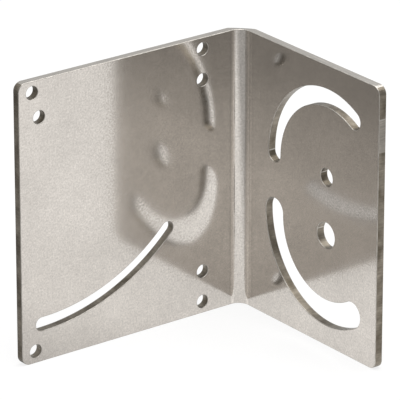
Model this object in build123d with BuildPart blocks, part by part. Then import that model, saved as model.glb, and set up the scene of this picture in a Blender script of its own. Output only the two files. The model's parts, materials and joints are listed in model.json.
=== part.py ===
from build123d import *

# Motor mounting bracket: one stainless sheet, cut flat and folded once into an L.
#
# The long flange lies along -X and the short flange along -Y. The origin is on the lower cut
# edge, where the two inner faces would meet if the fold had no radius, so a feature's distance
# from the origin along its flange is its distance from the inside of the corner.
# Millimetres, +Z up.

import os

# the sheet and the fold; the flanges are measured from the inside of the corner
sheet = 3.0
height = 100.0
long_flange = 91.5
short_flange = 73.0
bend_radius = 4.0
corner_radius = 3.0
edge_break = 0.2

# fixing holes of the long flange: columns are measured from the corner, rows from the base
fixing_hole = 4.6
near_column = 16.5
far_column = 86.1
outer_rows = (4.3, 96.0)
inner_rows = (15.5, 85.0)

# pivot hole of the long flange, with the slot that a second screw swings in about that pivot
long_pivot = (83.4, 87.0)
long_slot_radius = 73.6
long_slot_width = 4.8
long_slot_start = -90.0
long_slot_sweep = -45.0

# the two pivot holes of the short flange, each with a slot as wide as its own hole
small_pivot = (46.2, 60.5)
small_hole = 6.3
small_slot_radius = 28.0
large_pivot = (46.2, 39.7)
large_hole = 9.2
large_slot_radius = 27.8
short_slot_start = 180.0
short_slot_sweep = 120.0

# each inner face: local x runs out from the corner and local y runs up
long_inner_face = Plane(origin=(0, 0, 0), x_dir=(-1, 0, 0), z_dir=(0, 1, 0))
short_inner_face = Plane(origin=(0, 0, 0), x_dir=(0, -1, 0), z_dir=(-1, 0, 0))


def swing_slot(pivot, radius, start, sweep, width):
    """Draw a slot whose centre line is an arc about a pivot hole."""
    with BuildLine(mode=Mode.PRIVATE) as centre_line:
        CenterArc(pivot, radius, start, sweep)
    SlotArc(centre_line.wire(), width)


def sharp_rims(part):
    """Pick the edges where a skin of the sheet meets a cut edge, a hole or a slot."""
    # only the skins, flat and bent, reach the whole height: the cut ends have rounded corners
    skins = part.faces().filter_by(lambda face: face.bounding_box().size.Z > height - corner_radius)
    edges = skins.edges()
    # two skins share an edge where the fold starts and ends, and that edge isn't a rim
    return ShapeList(edge for edge in edges if sum(edge.is_same(other) for other in edges) == 1)


with BuildPart() as bracket:
    # the inside line of the fold, thickened outwards and drawn up to the bracket's height
    with BuildLine():
        FilletPolyline((-long_flange, 0), (0, 0), (0, -short_flange), radius=bend_radius)
    make_brake_formed(sheet, height, side=Side.LEFT)

    # round the free corner of each flange, top and bottom
    long_corners = bracket.edges().filter_by(Axis.Y).group_by(Axis.X)[0]
    short_corners = bracket.edges().filter_by(Axis.X).group_by(Axis.Y)[0]
    fillet(long_corners + short_corners, radius=corner_radius)

    # long flange: the fixing holes, the pivot hole and its slot
    with BuildSketch(long_inner_face):
        outer_holes = [(x, y) for x in (near_column, far_column) for y in outer_rows]
        inner_holes = [(near_column, y) for y in inner_rows]
        with Locations(*outer_holes, *inner_holes, long_pivot):
            Circle(fixing_hole / 2)
        swing_slot(long_pivot, long_slot_radius, long_slot_start, long_slot_sweep, long_slot_width)
    extrude(amount=sheet, mode=Mode.SUBTRACT)

    # short flange: two pivot holes and their slots, one swung over the top and one underneath
    with BuildSketch(short_inner_face):
        with Locations(small_pivot):
            Circle(small_hole / 2)
        with Locations(large_pivot):
            Circle(large_hole / 2)
        swing_slot(small_pivot, small_slot_radius, short_slot_start, -short_slot_sweep, small_hole)
        swing_slot(large_pivot, large_slot_radius, short_slot_start, short_slot_sweep, large_hole)
    extrude(amount=-sheet, mode=Mode.SUBTRACT)

    # deburred rims all round both sides of the sheet
    chamfer(sharp_rims(bracket.part), length=edge_break)

bracket.part.label = "bracket"
os.makedirs("parts", exist_ok=True)
export_step(bracket.part, "parts/bracket.step")
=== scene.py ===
"""A folded stainless motor bracket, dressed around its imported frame, in a plain pale studio."""

import json
import math

import bpy
from bpy.props import FloatProperty, FloatVectorProperty, IntProperty, PointerProperty
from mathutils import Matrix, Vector
from mathutils.geometry import delaunay_2d_cdt


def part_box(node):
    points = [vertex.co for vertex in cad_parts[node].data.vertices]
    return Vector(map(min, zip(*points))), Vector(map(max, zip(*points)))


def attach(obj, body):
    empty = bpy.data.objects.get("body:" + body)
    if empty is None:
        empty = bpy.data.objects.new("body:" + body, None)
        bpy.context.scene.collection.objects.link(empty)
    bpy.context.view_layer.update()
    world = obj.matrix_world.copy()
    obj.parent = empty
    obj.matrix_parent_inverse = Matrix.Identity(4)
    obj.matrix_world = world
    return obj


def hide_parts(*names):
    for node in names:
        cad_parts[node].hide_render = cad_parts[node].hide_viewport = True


bl_info = {
    "name": "Folded Motor Bracket",
    "version": (1, 0, 0),
    "blender": (4, 5, 0),
    "location": "View3D > Sidebar > Bracket",
    "description": "Cuts, folds and finishes a stainless motor bracket, and lights it in a studio",
    "category": "Object",
}

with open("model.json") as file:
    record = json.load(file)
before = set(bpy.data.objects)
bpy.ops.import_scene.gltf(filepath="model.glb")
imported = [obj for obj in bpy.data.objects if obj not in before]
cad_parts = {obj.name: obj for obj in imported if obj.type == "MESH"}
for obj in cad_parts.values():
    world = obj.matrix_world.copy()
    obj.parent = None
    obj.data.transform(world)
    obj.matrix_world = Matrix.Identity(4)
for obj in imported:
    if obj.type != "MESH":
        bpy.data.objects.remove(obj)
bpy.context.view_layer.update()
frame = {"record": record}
NODE = "bracket"
BODY = "root"
MM = 0.001

# the node's corners give the sheet and both flanges, and its mounts give every hole and slot
LOW, HIGH = (Vector(corner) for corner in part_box(NODE))
MOUNTS = {mount["name"]: mount for mount in frame["record"]["mounts"]}


def linear(code):
    """Turn an sRGB hex code into linear red, green and blue."""
    values = [int(code[place : place + 2], 16) / 255 for place in (1, 3, 5)]
    return [v / 12.92 if v <= 0.04045 else ((v + 0.055) / 1.055) ** 2.4 for v in values]


def add_node(tree, kind, inputs=(), **settings):
    """Add a node with its settings, and its inputs by place or name: values, or sockets to link."""
    node = tree.nodes.new(kind)
    for name, value in settings.items():
        setattr(node, name, value)
    for name, value in inputs.items() if isinstance(inputs, dict) else enumerate(inputs):
        if isinstance(value, bpy.types.NodeSocket):
            tree.links.new(value, node.inputs[name])
        else:
            node.inputs[name].default_value = value
    return node


# ------------------------------------------------------------------ sizes, colours and light


class BracketSizes(bpy.types.PropertyGroup):
    """Sizes of the sheet that its frame's corners and mounts don't give."""

    bend_radius: FloatProperty(
        name="Bend Radius", description="Inside radius of the fold", default=4.0 * MM,
        min=0.5 * MM, unit="LENGTH", precision=4,
    )
    draw_in: FloatProperty(
        name="Draw In", description="How far the stretched outside of the fold pulls in its edges",
        default=0.6 * MM, min=0, unit="LENGTH", precision=4,
    )
    corner_radius: FloatProperty(
        name="Corner Radius", description="Radius of each flange's free corners",
        default=3.0 * MM, min=0.5 * MM, unit="LENGTH", precision=4,
    )
    rim_radius: FloatProperty(
        name="Rim Radius", description="How far tumbling rounds the edge of every cut",
        default=0.2 * MM, min=0.02 * MM, unit="LENGTH", precision=5,
    )
    long_slot_width: FloatProperty(
        name="Long Flange Slot Width", description="Width of the long flange's swing slot",
        default=4.8 * MM, min=1.0 * MM, unit="LENGTH", precision=4,
    )
    long_sweep: FloatProperty(
        name="Long Flange Swing", description="Angle that a screw swings in the long flange's slot",
        default=math.radians(45), subtype="ANGLE",
    )
    short_sweep: FloatProperty(
        name="Short Flange Swing", description="Angle of each of the short flange's slots",
        default=math.radians(120), subtype="ANGLE",
    )
    hole_pieces: IntProperty(
        name="Hole Pieces", description="Straight pieces in each round hole", default=96, min=24,
    )
    slot_step: FloatProperty(
        name="Slot Step", description="Angle of each straight piece along a slot",
        default=math.radians(1.25), subtype="ANGLE",
    )
    corner_pieces: IntProperty(
        name="Corner Pieces", description="Straight pieces in each free corner", default=24, min=4,
    )
    fold_strips: IntProperty(
        name="Fold Strips", description="Flat strips across the fold", default=32, min=8,
    )
    rim_pieces: IntProperty(
        name="Rim Pieces", description="Straight pieces across each rounded rim", default=3, min=1,
    )


class BracketFinish(bpy.types.PropertyGroup):
    """Colours and texture of the sheet and of its cut edges."""

    steel: FloatVectorProperty(
        name="Steel", description="Colour of the rolled sheet", subtype="COLOR",
        default=linear("#BDB8B2"), min=0, max=1,
    )
    steel_roughness: FloatProperty(
        name="Steel Roughness", description="How far the rolled skin blurs what it mirrors",
        default=0.12, min=0, max=1,
    )
    grain: FloatProperty(
        name="Grain", description="Width of the mottle that the rolls print on the sheet",
        default=0.65 * MM, min=0.1 * MM, unit="LENGTH", precision=5,
    )
    cloud: FloatProperty(
        name="Cloud", description="Width of the slow change of tone across the sheet",
        default=20 * MM, min=1.0 * MM, unit="LENGTH", precision=4,
    )
    cut: FloatVectorProperty(
        name="Cut", description="Colour of the wall that the beam leaves", subtype="COLOR",
        default=linear("#837C71"), min=0, max=1,
    )
    scorch: FloatVectorProperty(
        name="Scorch", description="Colour of the burnt patches on that wall", subtype="COLOR",
        default=linear("#5A5348"), min=0, max=1,
    )
    slit: FloatVectorProperty(
        name="Slit Edge", description="Colour of the strip's own edges, above and below",
        subtype="COLOR", default=linear("#A9A59F"), min=0, max=1,
    )
    rim: FloatVectorProperty(
        name="Rim", description="Colour of the fresh metal on the rounded rims", subtype="COLOR",
        default=linear("#BAB5AE"), min=0, max=1,
    )
    rubbed: FloatProperty(
        name="Rubbed Patch", description="Length of the paler patch on the short flange's end",
        default=11.5 * MM, min=0, unit="LENGTH", precision=4,
    )
    striation: FloatProperty(
        name="Striation", description="Spacing of the ripples that the beam leaves in a cut",
        default=0.35 * MM, min=0.05 * MM, unit="LENGTH", precision=5,
    )


class StudioSetup(bpy.types.PropertyGroup):
    """The camera, the lamp and the floor."""

    aim: FloatVectorProperty(
        name="Aim", description="Point that the camera looks at", subtype="TRANSLATION",
        unit="LENGTH", default=(-42.13 * MM, -32.437 * MM, 58.255 * MM),
    )
    turn: FloatProperty(
        name="Turn", description="Camera's angle round the bracket from its front",
        default=math.radians(37.118), subtype="ANGLE",
    )
    tilt: FloatProperty(
        name="Tilt", description="Camera's angle above the floor",
        default=math.radians(21.929), subtype="ANGLE",
    )
    distance: FloatProperty(
        name="Distance", description="From the camera to the point that it looks at",
        default=1.42382, unit="LENGTH",
    )
    lens: FloatProperty(
        name="Lens", description="Focal length in millimetres, on a 36 mm sensor", default=390.19,
    )
    lamp_place: FloatVectorProperty(
        name="Lamp Place", description="Middle of the soft lamp", subtype="TRANSLATION",
        unit="LENGTH", default=(0.04, -0.06, 0.45),
    )
    lamp_size: FloatProperty(
        name="Lamp Size", description="Side of the soft lamp", default=0.5, unit="LENGTH",
    )
    lamp_power: FloatProperty(
        name="Lamp Power", description="Power of the soft lamp", default=3.0, unit="POWER",
    )
    ambient: FloatProperty(
        name="Ambient", description="Light that the room itself throws on everything", default=0.1,
    )
    glow_place: FloatVectorProperty(
        name="Glow Place", description="Where the floor is brightest", subtype="TRANSLATION",
        unit="LENGTH", size=2, default=(0.1, -0.115),
    )
    glow_reach: FloatVectorProperty(
        name="Glow Reach", description="How far out the glow starts to dim, and where it ends",
        unit="LENGTH", size=2, default=(0.17, 0.265),
    )
    glow: FloatProperty(
        name="Glow", description="Brightness of the floor round the bracket, in its mirror",
        default=1.5,
    )
    glow_edge: FloatProperty(
        name="Glow Edge", description="Brightness of the floor further out, in its mirror",
        default=0.55,
    )
    floor: FloatVectorProperty(
        name="Floor", description="Colour of the floor", subtype="COLOR",
        default=linear("#FAF9F8"), min=0, max=1,
    )


# ------------------------------------------------------------------ outlines of the flat sheet


def arc(centre, radius, start, sweep, pieces):
    """Points along an arc, both ends included."""
    angles = (start + sweep * step / pieces for step in range(pieces + 1))
    return [(centre[0] + radius * math.cos(a), centre[1] + radius * math.sin(a)) for a in angles]


def round_hole(sizes, place, centre, radius, inset):
    """The outline of a round hole, grown by the inset."""
    points = arc(centre, radius + inset, 0, 2 * math.pi, sizes.hole_pieces)[:-1]
    return [place(point) for point in points]


def swing_slot(sizes, place, pivot, radius, start, sweep, width, inset):
    """The outline of a slot whose centre line is an arc about a pivot, grown by the inset."""
    reach = width / 2 + inset
    turn = math.copysign(math.pi, sweep)
    along = max(8, round(abs(sweep) / sizes.slot_step))
    cap = sizes.hole_pieces // 2
    near_end, far_end = arc(pivot, radius, start, sweep, 1)
    points = arc(pivot, radius + reach, start, sweep, along)
    points += arc(far_end, reach, start + sweep, turn, cap)[1:]
    points += arc(pivot, radius - reach, start + sweep, -sweep, along)[1:]
    points += arc(near_end, reach, start + math.pi, turn, cap)[1:-1]
    return [place(point) for point in points]


def on_flange(name):
    """How far a mount is from the corner along its flange, and how high it is."""
    x, y, z = MOUNTS[name]["pos_m"]
    return max(-x, -y), z


class Blank:
    """The sheet before it is folded, with x along it, z up it and the long flange in place."""

    def __init__(self, sizes):
        self.sizes = sizes
        self.fold_start = -sizes.bend_radius
        self.fold_end = self.fold_start + sizes.bend_radius * math.pi / 2
        self.left = LOW.x
        self.right = self.fold_end - sizes.bend_radius - LOW.y

    def long_flange(self, point):
        """Where the long flange has a point, from its distance to the corner and its height."""
        return -point[0], point[1]

    def short_flange(self, point):
        """Where the short flange has a point, from its distance to the corner and its height."""
        return self.fold_end - self.sizes.bend_radius + point[0], point[1]

    def fold_places(self):
        """Where the sheet has an edge from top to bottom, so that it can bend."""
        strips = self.sizes.fold_strips
        length = self.fold_end - self.fold_start
        return [self.fold_start + length * step / strips for step in range(strips + 1)]

    def edge_runs(self, inset):
        """The sheet's own edge in four runs: the long flange's end, below, the short's, above."""
        radius, pieces = self.sizes.corner_radius, self.sizes.corner_pieces
        near, far = self.left + radius, self.right - radius
        low, high = LOW.z + radius, HIGH.z - radius
        bend, quarter = radius - inset, math.pi / 2
        return [
            arc((near, high), bend, quarter, quarter, pieces)
            + arc((near, low), bend, 2 * quarter, quarter, pieces),
            [(x, LOW.z + inset) for x in self.fold_places()],
            arc((far, low), bend, 3 * quarter, quarter, pieces)
            + arc((far, high), bend, 0, quarter, pieces),
            [(x, HIGH.z - inset) for x in reversed(self.fold_places())],
        ]

    def long_cuts(self, inset):
        """Everything cut in the long flange: the two bolt patterns, the pivot and its slot."""
        cuts = []
        for name in ("corner_fixings", "near_column_fixings"):
            dims = MOUNTS[name]["dims"]
            along, up = on_flange(name)
            wide = dims.get("spacing_x_mm", 0) * MM / 2
            tall = dims["spacing_y_mm"] * MM / 2
            for x in sorted({along - wide, along + wide}):
                for z in (up - tall, up + tall):
                    cuts.append(
                        round_hole(self.sizes, self.long_flange, (x, z),
                                   dims["hole_r_mm"] * MM, inset)
                    )
        return cuts + self.pivot_and_slot(
            self.long_flange, "long_flange_pivot", "long_flange_swing_slot",
            -math.pi / 2, -self.sizes.long_sweep, inset, self.sizes.long_slot_width,
        )

    def short_cuts(self, inset):
        """Everything cut in the short flange: two pivots, one slot over and one under."""
        sweep = self.sizes.short_sweep
        return self.pivot_and_slot(
            self.short_flange, "small_pivot", "small_swing_slot", math.pi, -sweep, inset
        ) + self.pivot_and_slot(
            self.short_flange, "large_pivot", "large_swing_slot", math.pi, sweep, inset
        )

    def pivot_and_slot(self, place, pivot_name, slot_name, start, sweep, inset, width=None):
        """A pivot hole and the slot about it, which is as wide as the hole unless told."""
        pivot = on_flange(pivot_name)
        hole = MOUNTS[pivot_name]["dims"]["r_mm"] * MM
        swing = (Vector(on_flange(slot_name)) - Vector(pivot)).length
        return [
            round_hole(self.sizes, place, pivot, hole, inset),
            swing_slot(self.sizes, place, pivot, swing, start, sweep, width or hole * 2, inset),
        ]

    def cut_starts(self):
        """Where the beam started the outline, both short pivots and the slot over them."""
        below_top = 11.3 * MM
        angle = math.radians(165)
        starts = [(self.right, HIGH.z - below_top)]
        for name in ("small_pivot", "large_pivot"):
            radius = MOUNTS[name]["dims"]["r_mm"] * MM
            along, up = on_flange(name)
            starts.append(
                self.short_flange((along + radius * math.cos(angle), up + radius * math.sin(angle)))
            )
        along, up = on_flange("small_pivot")
        swing = (Vector(on_flange("small_swing_slot")) - Vector((along, up))).length
        outer = swing + MOUNTS["small_pivot"]["dims"]["r_mm"] * MM
        starts.append(self.short_flange((along - outer, up)))
        return starts

    def outlines(self, inset):
        """All the blank's points on its cut lines, moved into the metal by the inset."""
        runs = self.edge_runs(inset)
        loops = runs + self.long_cuts(inset) + self.short_cuts(inset)
        numbers, count = [], 0
        for loop in loops:
            numbers.append(list(range(count, count + len(loop))))
            count += len(loop)
        return [point for loop in loops for point in loop], numbers, len(self.long_cuts(inset))


def filled(points, loops):
    """Faces that fill a closed outline but not the cuts inside it."""
    chosen = [number for loop in loops for number in loop]
    local = {number: place for place, number in enumerate(chosen)}
    outlines = [[local[number] for number in loop] for loop in loops]
    flat = [Vector(points[number]) for number in chosen]
    made, _, faces, sources, _, _ = delaunay_2d_cdt(flat, [], outlines, 5, 1e-8)
    if len(made) != len(flat):
        raise RuntimeError("two outlines of the blank cross")
    return [[chosen[sources[corner][0]] for corner in face] for face in faces]


def skin_mesh(blank):
    """One skin of the flat sheet, in from its cut lines by the rim, as the tree below needs it."""
    points, numbers, long_count = blank.outlines(blank.sizes.rim_radius)
    cut_points, _, _ = blank.outlines(0)
    long_end, below, short_end, above = numbers[:4]
    long_cuts, short_cuts = numbers[4 : 4 + long_count], numbers[4 + long_count :]
    faces = filled(points, [long_end + [below[0], above[-1]]] + long_cuts)
    faces += filled(points, [[below[-1]] + short_end + [above[0]]] + short_cuts)
    over = above[::-1]
    for step in range(len(below) - 1):
        faces.append([below[step], below[step + 1], over[step + 1], over[step]])
    mesh = bpy.data.meshes.new("bracket_skin")
    mesh.from_pydata([(x, 0, z) for x, z in points], [], faces)
    for name, flat in (("rim_line", points), ("cut_line", cut_points)):
        values = mesh.attributes.new(name, "FLOAT_VECTOR", "POINT")
        values.data.foreach_set("vector", [value for x, z in flat for value in (x, 0, z)])
    return mesh


# ------------------------------------------------------------------ the sheet's Geometry Nodes


def cut_walls(tree, given):
    """Draw each cut line on round its rim, through the sheet and round the rim beyond."""
    # a cut line is an edge with one face, and each pass draws on the ring that the last one made
    neighbours = add_node(tree, "GeometryNodeInputMeshEdgeNeighbors").outputs["Face Count"]
    open_edge = add_node(
        tree, "FunctionNodeCompare", {"A": 1.0, "B": neighbours}, data_type="FLOAT",
        operation="EQUAL",
    ).outputs["Result"]
    passes = add_node(
        tree, "ShaderNodeMath", [given["Rim Pieces"], 2.0, 1.0], operation="MULTIPLY_ADD"
    ).outputs[0]
    start = add_node(tree, "GeometryNodeRepeatInput")
    end = add_node(tree, "GeometryNodeRepeatOutput")
    start.pair_with_output(end)
    end.repeat_items.new("BOOLEAN", "Cut")
    tree.links.new(passes, start.inputs["Iterations"])
    tree.links.new(given["Skin"], start.inputs["Geometry"])
    tree.links.new(open_edge, start.inputs["Cut"])
    drawn = add_node(
        tree, "GeometryNodeExtrudeMesh",
        {"Mesh": start.outputs["Geometry"], "Selection": start.outputs["Cut"], "Offset Scale": 0.0},
        mode="EDGES",
    )

    # how far round the nearer rim this pass has come, and how deep that is
    step = add_node(
        tree, "ShaderNodeMath", [start.outputs["Iteration"], 1.0], operation="ADD"
    ).outputs[0]
    left = add_node(tree, "ShaderNodeMath", [passes, step], operation="SUBTRACT").outputs[0]
    nearer = add_node(tree, "ShaderNodeMath", [step, left], operation="MINIMUM").outputs[0]
    turn = add_node(
        tree, "ShaderNodeMath", [nearer, given["Rim Pieces"]], operation="DIVIDE"
    ).outputs[0]
    angle = add_node(
        tree, "ShaderNodeMath", [turn, math.pi / 2], operation="MULTIPLY"
    ).outputs[0]
    sine = add_node(tree, "ShaderNodeMath", [angle], operation="SINE").outputs[0]
    cosine = add_node(tree, "ShaderNodeMath", [angle], operation="COSINE").outputs[0]
    sunk = add_node(tree, "ShaderNodeMath", [1.0, cosine], operation="SUBTRACT").outputs[0]
    near_depth = add_node(
        tree, "ShaderNodeMath", [given["Rim Radius"], sunk], operation="MULTIPLY"
    ).outputs[0]
    far_depth = add_node(
        tree, "ShaderNodeMath", [given["Sheet"], near_depth], operation="SUBTRACT"
    ).outputs[0]
    is_far = add_node(tree, "ShaderNodeMath", [step, left], operation="GREATER_THAN").outputs[0]
    depth = add_node(
        tree, "ShaderNodeMix", {"Factor": is_far, "A": near_depth, "B": far_depth}
    ).outputs["Result"]

    # the ring goes from the skin's own rim line out to the cut line, at that depth
    rim_line, cut_line = (
        add_node(
            tree, "GeometryNodeInputNamedAttribute", {"Name": name}, data_type="FLOAT_VECTOR"
        ).outputs["Attribute"]
        for name in ("rim_line", "cut_line")
    )
    in_plane = add_node(
        tree, "ShaderNodeMix", {0: sine, 4: rim_line, 5: cut_line}, data_type="VECTOR"
    ).outputs[1]
    down = add_node(tree, "ShaderNodeCombineXYZ", {"Y": depth}).outputs[0]
    place = add_node(
        tree, "ShaderNodeVectorMath", [in_plane, down], operation="ADD"
    ).outputs[0]
    moved = add_node(
        tree, "GeometryNodeSetPosition",
        {"Geometry": drawn.outputs["Mesh"], "Selection": drawn.outputs["Top"], "Position": place},
    ).outputs[0]
    tree.links.new(moved, end.inputs["Geometry"])
    tree.links.new(drawn.outputs["Top"], end.inputs["Cut"])
    return end.outputs["Geometry"]


def close_sheet(tree, given, shape):
    """Lay the other skin, which is the first turned over, one thickness away, and weld it on."""
    across = add_node(tree, "ShaderNodeCombineXYZ", {"Y": given["Sheet"]}).outputs[0]
    other = add_node(
        tree, "GeometryNodeTransform", {"Geometry": given["Skin"], "Translation": across}
    ).outputs[0]
    other = add_node(tree, "GeometryNodeFlipFaces", {"Mesh": other}).outputs[0]
    joined = add_node(tree, "GeometryNodeJoinGeometry", [other])
    tree.links.new(shape, joined.inputs[0])
    return add_node(
        tree, "GeometryNodeMergeByDistance", {"Geometry": joined.outputs[0], "Distance": 1e-6}
    ).outputs[0]


def mark_for_finishes(tree, shape):
    """Keep each point's place in the flat sheet, and how squarely each face faces the skins."""
    place = add_node(tree, "GeometryNodeInputPosition").outputs[0]
    normal = add_node(tree, "GeometryNodeInputNormal").outputs[0]
    across = add_node(tree, "ShaderNodeSeparateXYZ", [normal]).outputs["Y"]
    facing = add_node(tree, "ShaderNodeMath", [across], operation="ABSOLUTE").outputs[0]
    for name, value, kind, domain in (
        ("blank", place, "FLOAT_VECTOR", "POINT"),
        ("facing", facing, "FLOAT", "FACE"),
    ):
        shape = add_node(
            tree, "GeometryNodeStoreNamedAttribute",
            {"Geometry": shape, "Name": name, "Value": value}, data_type=kind, domain=domain,
        ).outputs[0]
    return shape


def fold_sheet(tree, given, shape):
    """Bend the sheet about its fold, with the inner skin kept at its own length."""
    place = add_node(tree, "GeometryNodeInputPosition").outputs[0]
    along, depth, height = add_node(tree, "ShaderNodeSeparateXYZ", [place]).outputs
    bend = given["Bend Radius"]
    past_start = add_node(tree, "ShaderNodeMath", [along, bend], operation="ADD").outputs[0]
    length = add_node(
        tree, "ShaderNodeMath", [bend, math.pi / 2], operation="MULTIPLY"
    ).outputs[0]
    on_arc = add_node(
        tree, "ShaderNodeClamp", {"Value": past_start, "Min": 0.0, "Max": length}
    ).outputs[0]

    # slide each point back to the line where the fold starts, then turn it about the fold's axis
    back = add_node(tree, "ShaderNodeCombineXYZ", [on_arc]).outputs[0]
    started = add_node(
        tree, "ShaderNodeVectorMath", [place, back], operation="SUBTRACT"
    ).outputs[0]
    inwards = add_node(tree, "ShaderNodeMath", [bend, -1.0], operation="MULTIPLY").outputs[0]
    axis = add_node(tree, "ShaderNodeCombineXYZ", [inwards, inwards]).outputs[0]
    clockwise = add_node(
        tree, "ShaderNodeMath", [on_arc, inwards], operation="DIVIDE"
    ).outputs[0]
    folded = add_node(
        tree, "ShaderNodeVectorRotate", {"Vector": started, "Center": axis, "Angle": clockwise},
        rotation_type="Z_AXIS",
    ).outputs[0]

    # the outside of the fold is stretched, so its ends pull in, most where it has half turned
    doubled = add_node(
        tree, "ShaderNodeMath", [clockwise, 2.0], operation="MULTIPLY"
    ).outputs[0]
    pull = add_node(tree, "ShaderNodeMath", [doubled], operation="SINE").outputs[0]
    share = add_node(
        tree, "ShaderNodeMath", [depth, given["Sheet"]], operation="DIVIDE"
    ).outputs[0]
    off_middle = add_node(
        tree, "ShaderNodeMath", [height, (LOW.z + HIGH.z) / 2], operation="SUBTRACT"
    ).outputs[0]
    side = add_node(tree, "ShaderNodeMath", [off_middle], operation="SIGN").outputs[0]
    for factor in (share, given["Draw In"], side):
        pull = add_node(tree, "ShaderNodeMath", [pull, factor], operation="MULTIPLY").outputs[0]
    inset = add_node(tree, "ShaderNodeCombineXYZ", {"Z": pull}).outputs[0]
    return add_node(
        tree, "GeometryNodeSetPosition", {"Geometry": shape, "Position": folded, "Offset": inset}
    ).outputs[0]


def give_finishes(tree, given, shape):
    """Shade the sheet smooth, and give its skins, its rims and its cut walls their finishes."""
    shape = add_node(tree, "GeometryNodeSetShadeSmooth", {"Geometry": shape}).outputs[0]
    shape = add_node(tree, "GeometryNodeRealizeInstances", {"Geometry": shape}).outputs[0]
    facing = add_node(
        tree, "GeometryNodeInputNamedAttribute", {"Name": "facing"}, data_type="FLOAT"
    ).outputs["Attribute"]
    # a skin faces squarely, a cut wall not at all, and a rim in between
    for finish, most in (("Sheet Finish", 2.0), ("Rim Finish", 0.99), ("Cut Finish", 0.1)):
        chosen = add_node(
            tree, "ShaderNodeMath", [facing, most], operation="LESS_THAN"
        ).outputs[0]
        shape = add_node(
            tree, "GeometryNodeSetMaterial",
            {"Geometry": shape, "Selection": chosen, "Material": given[finish]},
        ).outputs[0]
    return shape


def cut_and_fold_tree():
    """Give a flat skin its rims, its cut walls and its other skin, then fold it about a line."""
    tree = bpy.data.node_groups.new("Cut and fold a sheet", "GeometryNodeTree")
    for name, kind in (
        ("Skin", "NodeSocketGeometry"),
        ("Sheet", "NodeSocketFloat"),
        ("Rim Radius", "NodeSocketFloat"),
        ("Rim Pieces", "NodeSocketInt"),
        ("Bend Radius", "NodeSocketFloat"),
        ("Draw In", "NodeSocketFloat"),
        ("Sheet Finish", "NodeSocketMaterial"),
        ("Rim Finish", "NodeSocketMaterial"),
        ("Cut Finish", "NodeSocketMaterial"),
    ):
        tree.interface.new_socket(name, in_out="INPUT", socket_type=kind)
    tree.interface.new_socket("Bracket", in_out="OUTPUT", socket_type="NodeSocketGeometry")
    given = add_node(tree, "NodeGroupInput").outputs
    shape = cut_walls(tree, given)
    shape = close_sheet(tree, given, shape)
    shape = mark_for_finishes(tree, shape)
    shape = fold_sheet(tree, given, shape)
    shape = give_finishes(tree, given, shape)
    add_node(tree, "NodeGroupOutput", [shape])
    return tree


# ------------------------------------------------------------------ finishes


def new_material(name):
    """A material with only its shader and its output, and the two."""
    material = bpy.data.materials.new(name)
    material.use_nodes = True
    tree = material.node_tree
    tree.nodes.clear()
    shader = add_node(tree, "ShaderNodeBsdfPrincipled")
    add_node(tree, "ShaderNodeOutputMaterial", {"Surface": shader.outputs[0]})
    return material, tree, shader


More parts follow.
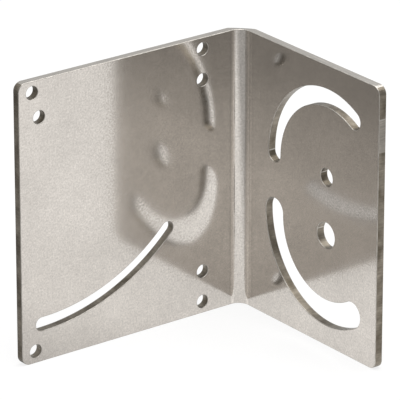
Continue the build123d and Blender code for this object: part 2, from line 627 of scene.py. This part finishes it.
def rolled_stainless(finish, bend_radius):
    """Cold-rolled stainless sheet with the mill's 2B finish.

    Pickled and passed once through polished rolls, it mirrors with a soft blur, and the pickled
    grain leaves a fine even mottle in that mirror.
    """
    material, tree, shader = new_material("Cold-rolled stainless, 2B mill finish")
    blank = add_node(tree, "ShaderNodeAttribute", attribute_name="blank").outputs["Vector"]
    along, depth, _ = add_node(tree, "ShaderNodeSeparateXYZ", [blank]).outputs

    # the grain, the patches of it and the slow change across the sheet, each with its two tones
    noises, tone = [], 1.0
    for size, detail, rough, dark, light in (
        (finish.grain, 2.0, 0.7, 0.85, 1.12),
        (finish.grain * 4, 3.0, 0.6, 0.95, 1.05),
        (finish.cloud, 4.0, 0.55, 0.94, 1.05),
    ):
        noises.append(
            add_node(
                tree, "ShaderNodeTexNoise",
                {"Vector": blank, "Scale": 1 / size, "Detail": detail, "Roughness": rough},
            ).outputs[0]
        )
        spread = add_node(
            tree, "ShaderNodeMapRange",
            {"Value": noises[-1], "From Min": 0.3, "From Max": 0.7, "To Min": dark,
             "To Max": light},
        ).outputs[0]
        tone = add_node(tree, "ShaderNodeMath", [tone, spread], operation="MULTIPLY").outputs[0]

    # the punch burnishes the inside of the sheet where each end of its nose bears on it, and tilts
    # the metal there: each tilt is painted into the colour as a bright band of painted reflection,
    # with a darker band of painted shade next to it
    fold_middle = bend_radius * (math.pi / 4 - 1)
    to_shoulder = bend_radius * math.pi / 4 - 0.4 * MM
    off = add_node(
        tree, "ShaderNodeMath", [along, fold_middle], operation="SUBTRACT"
    ).outputs[0]
    off = add_node(tree, "ShaderNodeMath", [off], operation="ABSOLUTE").outputs[0]
    off = add_node(tree, "ShaderNodeMath", [off, to_shoulder], operation="SUBTRACT").outputs[0]
    rubbed = 0.0
    for centre, full, gone, gain in (
        (0.0, 0.55 * MM, 0.75 * MM, 0.2),
        (1.1 * MM, 0.15 * MM, 0.5 * MM, -0.08),
    ):
        away = add_node(tree, "ShaderNodeMath", [off, centre], operation="SUBTRACT").outputs[0]
        away = add_node(tree, "ShaderNodeMath", [away], operation="ABSOLUTE").outputs[0]
        band = add_node(
            tree, "ShaderNodeMapRange",
            {"Value": away, "From Min": full, "From Max": gone, "To Min": 1.0, "To Max": 0.0},
        ).outputs[0]
        rubbed = add_node(
            tree, "ShaderNodeMath", [band, gain, rubbed], operation="MULTIPLY_ADD"
        ).outputs[0]
    inside = add_node(
        tree, "ShaderNodeMath", [depth, HIGH.x / 2], operation="LESS_THAN"
    ).outputs[0]
    rubbed = add_node(
        tree, "ShaderNodeMath", [rubbed, inside, 1.0], operation="MULTIPLY_ADD"
    ).outputs[0]
    # the painted highlight and painted shade at the fold's shoulders lighten and darken the sheet's
    # colour here
    tone = add_node(tree, "ShaderNodeMath", [tone, rubbed], operation="MULTIPLY").outputs[0]
    colour = add_node(
        tree, "ShaderNodeVectorMath", {0: finish.steel, "Scale": tone}, operation="SCALE"
    ).outputs[0]

    # the crests of the grain are polished by the rolls, and its pits stay matt
    rough, spread = finish.steel_roughness, 0.05
    roughness = add_node(
        tree, "ShaderNodeMapRange",
        {"Value": noises[0], "From Min": 0.3, "From Max": 0.7, "To Min": rough + spread,
         "To Max": rough - spread},
    ).outputs[0]
    bump = add_node(
        tree, "ShaderNodeBump", {"Height": noises[0], "Strength": 0.1, "Distance": 0.02 * MM}
    ).outputs[0]
    shader.inputs["Metallic"].default_value = 1.0
    tree.links.new(colour, shader.inputs["Base Color"])
    tree.links.new(roughness, shader.inputs["Roughness"])
    tree.links.new(bump, shader.inputs["Normal"])
    return material


def deburred_rim(finish):
    """A rim of the sheet after tumbling: fresh metal, rubbed bright but not polished."""
    material, tree, shader = new_material("Tumbled stainless rim")
    blank = add_node(tree, "ShaderNodeAttribute", attribute_name="blank").outputs["Vector"]
    wear = add_node(
        tree, "ShaderNodeTexNoise", {"Vector": blank, "Scale": 1 / (2.5 * MM), "Detail": 3.0}
    ).outputs[0]
    tone = add_node(
        tree, "ShaderNodeMapRange",
        {"Value": wear, "From Min": 0.35, "From Max": 0.65, "To Min": 0.6, "To Max": 1.0},
    ).outputs[0]
    colour = add_node(
        tree, "ShaderNodeVectorMath", {0: finish.rim, "Scale": tone}, operation="SCALE"
    ).outputs[0]
    shader.inputs["Metallic"].default_value = 1.0
    shader.inputs["Roughness"].default_value = 0.4
    tree.links.new(colour, shader.inputs["Base Color"])
    return material


def laser_cut(finish, starts):
    """The wall of a laser cut in stainless, and the strip's own slit edges.

    The beam leaves fine ripples through the thickness, and its heat leaves the wall dull and brown.
    The edges above and below were slit by the mill, so they are paler, with fine lines along them.
    The outline, both short pivots and the slot over them each have a pale line through the sheet
    where the beam started.
    """
    material, tree, shader = new_material("Laser-cut and slit stainless edge")
    blank = add_node(tree, "ShaderNodeAttribute", attribute_name="blank").outputs["Vector"]
    along, _, height = add_node(tree, "ShaderNodeSeparateXYZ", [blank]).outputs
    slit_band = 0.4 * MM
    off_middle = add_node(
        tree, "ShaderNodeMath", [height, (LOW.z + HIGH.z) / 2], operation="SUBTRACT"
    ).outputs[0]
    off_middle = add_node(tree, "ShaderNodeMath", [off_middle], operation="ABSOLUTE").outputs[0]
    slit = add_node(
        tree, "ShaderNodeMath", [off_middle, (HIGH.z - LOW.z) / 2 - slit_band],
        operation="GREATER_THAN",
    ).outputs[0]

    # ripples cross a cut wall, and run along a slit edge
    ripples = []
    for scale in ((1.0, 0.08, 1.0), (0.04, 1.6, 1.0)):
        stretched = add_node(
            tree, "ShaderNodeMapping", {"Vector": blank, "Scale": scale}
        ).outputs[0]
        ripples.append(
            add_node(
                tree, "ShaderNodeTexNoise",
                {"Vector": stretched, "Scale": 1 / finish.striation, "Detail": 2.0},
            ).outputs[0]
        )
    ripple = add_node(
        tree, "ShaderNodeMix", {"Factor": slit, "A": ripples[0], "B": ripples[1]}
    ).outputs[0]
    patch = add_node(
        tree, "ShaderNodeTexNoise", {"Vector": blank, "Scale": 1 / (5 * MM), "Detail": 3.0}
    ).outputs[0]
    scorch = add_node(
        tree, "ShaderNodeMapRange", {"Value": patch, "From Min": 0.35, "From Max": 0.65}
    ).outputs[0]
    burnt = add_node(
        tree, "ShaderNodeMix", {0: scorch, 6: (*finish.cut, 1), 7: (*finish.scorch, 1)},
        data_type="RGBA",
    ).outputs[2]

    # the pale line through the sheet at each given start, read in the plane of the blank
    in_sheet = add_node(
        tree, "ShaderNodeVectorMath", [blank, (1, 0, 1)], operation="MULTIPLY"
    ).outputs[0]
    pale = slit
    for start in starts:
        away = add_node(
            tree, "ShaderNodeVectorMath", [in_sheet, (start[0], 0, start[1])],
            operation="DISTANCE",
        ).outputs["Value"]
        line = add_node(
            tree, "ShaderNodeMapRange",
            {"Value": away, "From Min": 0.1 * MM, "From Max": 0.25 * MM, "To Min": 1.0,
             "To Max": 0.0},
        ).outputs[0]
        pale = add_node(tree, "ShaderNodeMath", [pale, line], operation="MAXIMUM").outputs[0]

    # below the outline's start the end of the short flange is rubbed about half as pale
    end, top = starts[0]
    reach, rubbed_share = finish.rubbed / 2, 0.45
    from_patch = add_node(
        tree, "ShaderNodeMath", [height, top - reach], operation="SUBTRACT"
    ).outputs[0]
    from_patch = add_node(tree, "ShaderNodeMath", [from_patch], operation="ABSOLUTE").outputs[0]
    in_patch = add_node(
        tree, "ShaderNodeMath", [from_patch, reach], operation="LESS_THAN"
    ).outputs[0]
    at_end = add_node(
        tree, "ShaderNodeMath", [along, end - 0.1 * MM], operation="GREATER_THAN"
    ).outputs[0]
    for share in (at_end, rubbed_share):
        in_patch = add_node(
            tree, "ShaderNodeMath", [in_patch, share], operation="MULTIPLY"
        ).outputs[0]
    pale = add_node(tree, "ShaderNodeMath", [pale, in_patch], operation="MAXIMUM").outputs[0]
    plain = add_node(
        tree, "ShaderNodeMix", {0: pale, 6: burnt, 7: (*finish.slit, 1)}, data_type="RGBA"
    ).outputs[2]
    tone = add_node(
        tree, "ShaderNodeMapRange",
        {"Value": ripple, "From Min": 0.3, "From Max": 0.7, "To Min": 0.75, "To Max": 1.15},
    ).outputs[0]
    colour = add_node(
        tree, "ShaderNodeVectorMath", {0: plain, "Scale": tone}, operation="SCALE"
    ).outputs[0]
    bump = add_node(
        tree, "ShaderNodeBump", {"Height": ripple, "Strength": 0.4, "Distance": 0.05 * MM}
    ).outputs[0]
    shader.inputs["Metallic"].default_value = 1.0
    shader.inputs["Roughness"].default_value = 0.38
    tree.links.new(colour, shader.inputs["Base Color"])
    tree.links.new(bump, shader.inputs["Normal"])
    return material


# ------------------------------------------------------------------ operators


class OBJECT_OT_folded_bracket(bpy.types.Operator):
    """Cut, fold and finish the bracket in place of its plain solid"""

    bl_idname = "object.folded_bracket"
    bl_label = "Folded Bracket"

    def execute(self, context):
        scene = context.scene
        sizes, finish = scene.bracket_sizes, scene.bracket_finish
        tree = cut_and_fold_tree()
        blank = Blank(sizes)
        flat = bpy.data.objects.new("bracket_blank", skin_mesh(blank))
        scene.collection.objects.link(flat)
        fold = flat.modifiers.new("Cut and fold", "NODES")
        fold.node_group = tree
        given = {
            "Sheet": HIGH.x,
            "Rim Radius": sizes.rim_radius,
            "Rim Pieces": sizes.rim_pieces,
            "Bend Radius": sizes.bend_radius,
            "Draw In": sizes.draw_in,
            "Sheet Finish": rolled_stainless(finish, sizes.bend_radius),
            "Rim Finish": deburred_rim(finish),
            "Cut Finish": laser_cut(finish, blank.cut_starts()),
        }
        for item in tree.interface.items_tree:
            if item.in_out == "INPUT" and item.name in given:
                fold[item.identifier] = given[item.name]
        shade = flat.modifiers.new("Flat skins, soft rims", "WEIGHTED_NORMAL")
        shade.keep_sharp = False
        evaluated = context.evaluated_depsgraph_get()
        mesh = bpy.data.meshes.new_from_object(
            flat.evaluated_get(evaluated), preserve_all_data_layers=True, depsgraph=evaluated
        )
        bpy.data.objects.remove(flat)
        while mesh.materials and mesh.materials[0] is None:
            mesh.materials.pop(index=0)
        if len(mesh.materials) != 3 or not mesh.polygons:
            raise RuntimeError("the bracket came out of its tree without its faces or finishes")
        mesh.name = "folded_bracket"
        piece = bpy.data.objects.new("folded_bracket", mesh)
        scene.collection.objects.link(piece)
        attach(piece, BODY)
        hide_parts(NODE)
        return {"FINISHED"}


class OBJECT_OT_bracket_studio(bpy.types.Operator):
    """Set the bracket on a plain pale floor, with one soft lamp and a camera"""

    bl_idname = "object.bracket_studio"
    bl_label = "Bracket Studio"

    def execute(self, context):
        scene = context.scene
        studio = scene.bracket_studio
        self.add_camera(scene, studio)
        self.add_lamp(scene, studio)
        self.add_floor(scene, studio)
        self.add_world(scene, studio)
        scene.view_settings.view_transform = "Standard"
        return {"FINISHED"}

    def add_camera(self, scene, studio):
        """A long lens, level with the frame's own turn and tilt."""
        camera = bpy.data.objects.new("camera", bpy.data.cameras.new("camera"))
        camera.data.lens = studio.lens
        camera.data.clip_end = 20
        level = math.cos(studio.tilt)
        look = Vector(
            (math.sin(studio.turn) * level, math.cos(studio.turn) * level, -math.sin(studio.tilt))
        )
        camera.location = Vector(studio.aim) - look * studio.distance
        camera.rotation_euler = (math.pi / 2 - studio.tilt, 0, -studio.turn)
        scene.collection.objects.link(camera)
        scene.camera = camera

    def add_lamp(self, scene, studio):
        """One soft square lamp overhead."""
        lamp = bpy.data.lights.new("soft_lamp", "AREA")
        lamp.size = studio.lamp_size
        lamp.energy = studio.lamp_power
        placed = bpy.data.objects.new("soft_lamp", lamp)
        placed.location = studio.lamp_place
        placed.visible_camera = False
        scene.collection.objects.link(placed)

    def add_floor(self, scene, studio):
        """A plain matt floor, which the camera sees as white paper with the bracket's shadow."""
        mesh = bpy.data.meshes.new("floor")
        side = 3
        corners = [(-side, -side, 0), (side, -side, 0), (side, side, 0), (-side, side, 0)]
        mesh.from_pydata(corners, [], [(0, 1, 2, 3)])
        floor = bpy.data.objects.new("floor", mesh)
        scene.collection.objects.link(floor)
        material = bpy.data.materials.new("Matt white paper")
        material.use_nodes = True
        tree = material.node_tree
        tree.nodes.clear()
        paper = add_node(tree, "ShaderNodeBsdfDiffuse", {"Color": (*studio.floor, 1)}).outputs[0]
        place = add_node(tree, "ShaderNodeTexCoord").outputs["Object"]
        middle = (studio.glow_place[0], studio.glow_place[1], 0)
        out = add_node(
            tree, "ShaderNodeVectorMath", [place, middle], operation="DISTANCE"
        ).outputs["Value"]
        # the lamp's light fades outwards, so the white that the camera sees grows as much
        faded, made_up = 0.8, 1.25
        paper_white = add_node(
            tree, "ShaderNodeMapRange",
            {"Value": out, "From Max": faded, "To Min": 1.0, "To Max": made_up},
        ).outputs[0]
        # the sheet mirrors a floor that glows round the bracket and dims away from it
        glow = add_node(
            tree, "ShaderNodeMapRange",
            {"Value": out, "From Min": studio.glow_reach[0], "From Max": studio.glow_reach[1],
             "To Min": studio.glow, "To Max": studio.glow_edge},
        ).outputs[0]
        path = add_node(tree, "ShaderNodeLightPath").outputs
        strength = add_node(
            tree, "ShaderNodeMix", {"Factor": path["Is Glossy Ray"], "A": paper_white, "B": glow}
        ).outputs[0]
        white = add_node(tree, "ShaderNodeEmission", {"Strength": strength}).outputs[0]
        # the rest of what each ray sees is the paper itself, which holds the bracket's shadow
        camera_share, mirror_share = 0.8, 0.65
        mirrored = add_node(
            tree, "ShaderNodeMath", [path["Is Glossy Ray"], path["Is Transmission Ray"]],
            operation="MAXIMUM",
        ).outputs[0]
        mirrored = add_node(
            tree, "ShaderNodeMath", [mirrored, mirror_share], operation="MULTIPLY"
        ).outputs[0]
        share = add_node(
            tree, "ShaderNodeMath", [path["Is Camera Ray"], camera_share, mirrored],
            operation="MULTIPLY_ADD",
        ).outputs[0]
        mixed = add_node(tree, "ShaderNodeMixShader", [share, paper, white]).outputs[0]
        add_node(tree, "ShaderNodeOutputMaterial", {"Surface": mixed})
        mesh.materials.append(material)

    def add_world(self, scene, studio):
        """White where the camera, a mirror or glass sees it, and dim where it lights the rest."""
        world = bpy.data.worlds.new("studio")
        world.use_nodes = True
        tree = world.node_tree
        tree.nodes.clear()
        path = add_node(tree, "ShaderNodeLightPath").outputs
        seen = path["Is Camera Ray"]
        for ray in ("Is Glossy Ray", "Is Transmission Ray"):
            seen = add_node(
                tree, "ShaderNodeMath", [seen, path[ray]], operation="MAXIMUM"
            ).outputs[0]
        strength = add_node(
            tree, "ShaderNodeMapRange", {"Value": seen, "To Min": studio.ambient, "To Max": 1.0}
        ).outputs[0]
        light = add_node(tree, "ShaderNodeBackground", {"Strength": strength}).outputs[0]
        add_node(tree, "ShaderNodeOutputWorld", {"Surface": light})
        scene.world = world


class VIEW3D_PT_bracket(bpy.types.Panel):
    """The bracket's sizes, finish and studio, with the button that makes each"""

    bl_idname = "VIEW3D_PT_bracket"
    bl_label = "Folded Bracket"
    bl_space_type = "VIEW_3D"
    bl_region_type = "UI"
    bl_category = "Bracket"

    def draw(self, context):
        scene = context.scene
        for settings, operator in (
            (scene.bracket_sizes, None),
            (scene.bracket_finish, OBJECT_OT_folded_bracket),
            (scene.bracket_studio, OBJECT_OT_bracket_studio),
        ):
            column = self.layout.column()
            for name in type(settings).__annotations__:
                column.prop(settings, name)
            if operator:
                column.operator(operator.bl_idname)


CLASSES = (
    BracketSizes,
    BracketFinish,
    StudioSetup,
    OBJECT_OT_folded_bracket,
    OBJECT_OT_bracket_studio,
    VIEW3D_PT_bracket,
)


def register():
    """Register every class, and give each scene the three groups of settings."""
    for item in CLASSES:
        bpy.utils.register_class(item)
    bpy.types.Scene.bracket_sizes = PointerProperty(type=BracketSizes)
    bpy.types.Scene.bracket_finish = PointerProperty(type=BracketFinish)
    bpy.types.Scene.bracket_studio = PointerProperty(type=StudioSetup)


def unregister():
    """Take back what register added."""
    del bpy.types.Scene.bracket_studio
    del bpy.types.Scene.bracket_finish
    del bpy.types.Scene.bracket_sizes
    for item in reversed(CLASSES):
        bpy.utils.unregister_class(item)


def main():
    """Make the bracket and its studio."""
    register()
    bpy.ops.object.folded_bracket()
    bpy.ops.object.bracket_studio()


if __name__ == "__main__":
    main()
